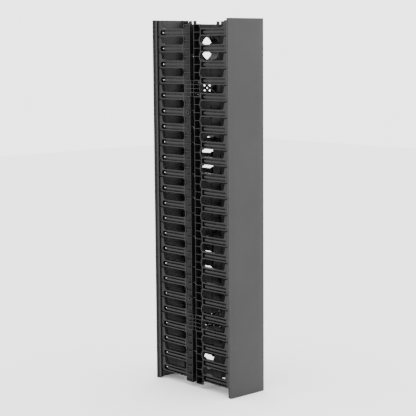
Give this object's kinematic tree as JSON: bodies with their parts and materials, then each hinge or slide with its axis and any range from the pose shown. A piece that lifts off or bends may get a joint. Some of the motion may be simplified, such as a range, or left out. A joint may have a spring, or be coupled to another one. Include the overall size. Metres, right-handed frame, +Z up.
{
  "type": "vertical cable manager",
  "caption": "Tall rack-side cable manager: finger combs on both sides, web pass-throughs between front and rear troughs, and snap-hinged covers.",
  "frame": {"origin": "centre of the footprint, on the surface it stands on", "axes": "-Y towards the front cover, +Y towards the rear cover, +Z up, X across the width"},
  "size_m": [0.13, 0.322, 1.05],
  "materials": {
    "black_plastic": "satin moulded black",
    "cover_grey": "fine-grained charcoal extrusion",
    "zinc_steel": "zinc plated",
    "bright_rivet": "polished"
  },
  "bodies": {
    "spine": {"front_left_bottom_comb": "black_plastic", "front_left_middle_comb": "black_plastic", "front_left_top_comb": "black_plastic", "front_right_bottom_comb": "black_plastic", "front_right_middle_comb": "black_plastic", "front_right_top_comb": "black_plastic", "rear_left_bottom_comb": "black_plastic", "rear_left_middle_comb": "black_plastic", "rear_left_top_comb": "black_plastic", "rear_right_bottom_comb": "black_plastic", "rear_right_middle_comb": "black_plastic", "rear_right_top_comb": "black_plastic", "lower_left_splice": "black_plastic", "lower_right_splice": "black_plastic", "upper_left_splice": "black_plastic", "upper_right_splice": "black_plastic", "lower_front_web_brace": "black_plastic", "lower_rear_web_brace": "black_plastic", "upper_front_web_brace": "black_plastic", "upper_rear_web_brace": "black_plastic", "bottom_round_sleeve": "black_plastic", "lower_slot_sleeve": "black_plastic", "upper_slot_sleeve": "black_plastic", "top_round_sleeve": "black_plastic", "left_tie_screws": "zinc_steel", "right_tie_screws": "zinc_steel", "left_splice_screws": "zinc_steel", "right_splice_screws": "zinc_steel", "front_brace_screws": "zinc_steel", "rear_brace_screws": "zinc_steel", "rear_left_finger_rivets": "bright_rivet", "front_right_finger_rivets": "bright_rivet"},
    "front_cover": {"front_cover": "cover_grey"},
    "rear_cover": {"rear_cover": "cover_grey"}
  },
  "joints": [
    {"name": "front_cover_hinge", "type": "hinge", "parent": "spine", "child": "front_cover", "pos_m": [-0.0595, -0.148, 0.525], "axis": [0, 0, -1], "range_deg": [0, 110]},
    {"name": "rear_cover_hinge", "type": "hinge", "parent": "spine", "child": "rear_cover", "pos_m": [0.0595, 0.148, 0.525], "axis": [0, 0, -1], "range_deg": [0, 110]}
  ]
}
